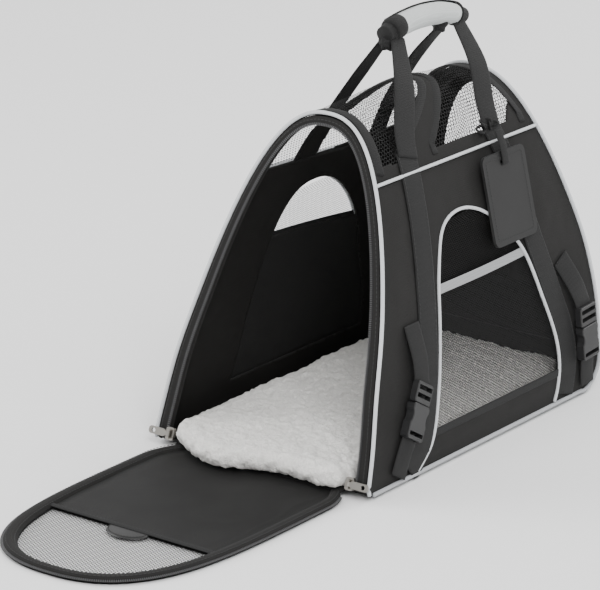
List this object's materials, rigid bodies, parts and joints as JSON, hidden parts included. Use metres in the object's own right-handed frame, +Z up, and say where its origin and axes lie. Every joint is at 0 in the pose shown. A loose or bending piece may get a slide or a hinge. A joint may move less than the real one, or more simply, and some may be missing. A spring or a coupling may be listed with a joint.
{
  "type": "pet carrier bag",
  "caption": "Soft-sided arched pet carrier with a drop-down zip door, mesh windows, twin carrying webs with a padded grip, side-release belt buckles, luggage tag and fleece pad.",
  "frame": {"origin": "centre of the base's underside, on the floor", "axes": "+X is the carrier's right side, the door end faces -Y, +Z is up"},
  "size_m": [0.2706, 0.7832, 0.419],
  "materials": {
    "body_cloth": "woven polyester, padded",
    "lining": "quilted lining",
    "mesh": "open honeycomb mesh",
    "piping": "light grey corded piping",
    "base_piping": "mid grey corded piping",
    "webbing": "ribbed nylon webbing",
    "grip_cloth": "light grey padded wrap",
    "pocket_band": "reflective edging tape",
    "buckle_plastic": "moulded acetal",
    "zip_teeth": "coil chain",
    "nickel": "satin nickel plate",
    "tag_skin": "grained leatherette",
    "fleece": "curly fleece",
    "board": "stiffening board",
    "wire": "spring wire"
  },
  "bodies": {
    "carrier": {"base_board": "board", "base_panel": "body_cloth", "base_piping": "base_piping", "belt_lower_front_left": "webbing", "belt_lower_front_right": "webbing", "belt_lower_rear_left": "webbing", "belt_lower_rear_right": "webbing", "belt_upper_front_left": "webbing", "belt_upper_front_right": "webbing", "belt_upper_rear_left": "webbing", "belt_upper_rear_right": "webbing", "buckle_female_front_left": "buckle_plastic", "buckle_female_front_right": "buckle_plastic", "buckle_female_rear_left": "buckle_plastic", "buckle_female_rear_right": "buckle_plastic", "carry_straps_left": "webbing", "carry_straps_right": "webbing", "carry_webs_left": "webbing", "carry_webs_right": "webbing", "front_gusset": "body_cloth", "front_hoop_wire": "wire", "front_piping": "piping", "front_zip_chain": "zip_teeth", "pocket_band_right": "pocket_band", "pocket_mesh_right": "mesh", "pocket_panel_left": "body_cloth", "rear_gusset": "body_cloth", "rear_hoop_wire": "wire", "rear_panel": "body_cloth", "rear_piping": "piping", "side_panel_left": "body_cloth", "side_panel_right": "body_cloth", "tag_loop": "webbing", "top_edge_piping": "piping", "top_frame": "body_cloth", "top_mesh_front": "mesh", "top_mesh_rear": "mesh", "window_mesh_left": "mesh", "window_mesh_right": "mesh", "window_piping_left": "piping", "window_piping_right": "piping"},
    "door": {"door_zip_chain": "zip_teeth", "door_binding": "body_cloth", "door_panel": "lining", "door_mesh": "mesh", "door_patch": "tag_skin"},
    "handle": {"grip_wrap": "grip_cloth", "grip_webs": "webbing"},
    "luggage_tag": {"tag_body": "tag_skin", "tag_strap": "webbing"},
    "floor_pad": {"floor_pad": "fleece", "floor_pad_lip": "fleece"},
    "zip_slider_right": {"zip_slider_right": "nickel"},
    "pull_tab_right": {"pull_tab_right": "nickel"},
    "buckle_front_right": {"buckle_male_front_right": "buckle_plastic"},
    "buckle_rear_right": {"buckle_male_rear_right": "buckle_plastic"},
    "zip_slider_left": {"zip_slider_left": "nickel"},
    "pull_tab_left": {"pull_tab_left": "nickel"},
    "buckle_front_left": {"buckle_male_front_left": "buckle_plastic"},
    "buckle_rear_left": {"buckle_male_rear_left": "buckle_plastic"}
  },
  "joints": [
    {"name": "door_hinge", "type": "hinge", "parent": "carrier", "child": "door", "pos_m": [0, -0.21619, 0.0095], "axis": [-1, 0, 0], "range_deg": [0, 106.5], "deforming": ["floor_pad_lip"]},
    {"name": "handle_drop", "type": "slide", "parent": "carrier", "child": "handle", "axis": [0, 0, 1], "range_m": [-0.035, 0], "deforming": ["carry_straps_right", "carry_straps_left"]},
    {"name": "tag_swing", "type": "hinge", "parent": "carrier", "child": "luggage_tag", "pos_m": [0.072, 0.071, 0.296], "axis": [0, -1, 0], "range_deg": [0, 65]},
    {"name": "pad_slide", "type": "slide", "parent": "carrier", "child": "floor_pad", "axis": [0, 1, 0], "range_m": [-0.4, 0]},
    {"name": "zip_travel_right", "type": "slide", "parent": "carrier", "child": "zip_slider_right", "axis": [0.0952, -0.2827, -0.9545], "range_m": [-0.09, 0]},
    {"name": "pull_flip_right", "type": "hinge", "parent": "zip_slider_right", "child": "pull_tab_right", "pos_m": [0.10714, -0.22099, 0.01582], "axis": [0, -0.284, -0.9588], "range_deg": [0, 80]},
    {"name": "buckle_release_front_right", "type": "slide", "parent": "carrier", "child": "buckle_front_right", "axis": [-0.0851, 0.4781, 0.8742], "range_m": [0, 0.018], "deforming": ["belt_upper_front_right"]},
    {"name": "buckle_release_rear_right", "type": "slide", "parent": "carrier", "child": "buckle_rear_right", "axis": [-0.0967, -0.0621, 0.9934], "range_m": [0, 0.018], "deforming": ["belt_upper_rear_right"]},
    {"name": "zip_travel_left", "type": "slide", "parent": "carrier", "child": "zip_slider_left", "axis": [-0.0952, -0.2827, -0.9545], "range_m": [-0.09, 0]},
    {"name": "pull_flip_left", "type": "hinge", "parent": "zip_slider_left", "child": "pull_tab_left", "pos_m": [-0.10714, -0.22099, 0.01582], "axis": [0, 0.284, 0.9588], "range_deg": [0, 80]},
    {"name": "buckle_release_front_left", "type": "slide", "parent": "carrier", "child": "buckle_front_left", "axis": [0.0851, 0.4781, 0.8742], "range_m": [0, 0.018], "deforming": ["belt_upper_front_left"]},
    {"name": "buckle_release_rear_left", "type": "slide", "parent": "carrier", "child": "buckle_rear_left", "axis": [0.0967, -0.0621, 0.9934], "range_m": [0, 0.018], "deforming": ["belt_upper_rear_left"]}
  ]
}
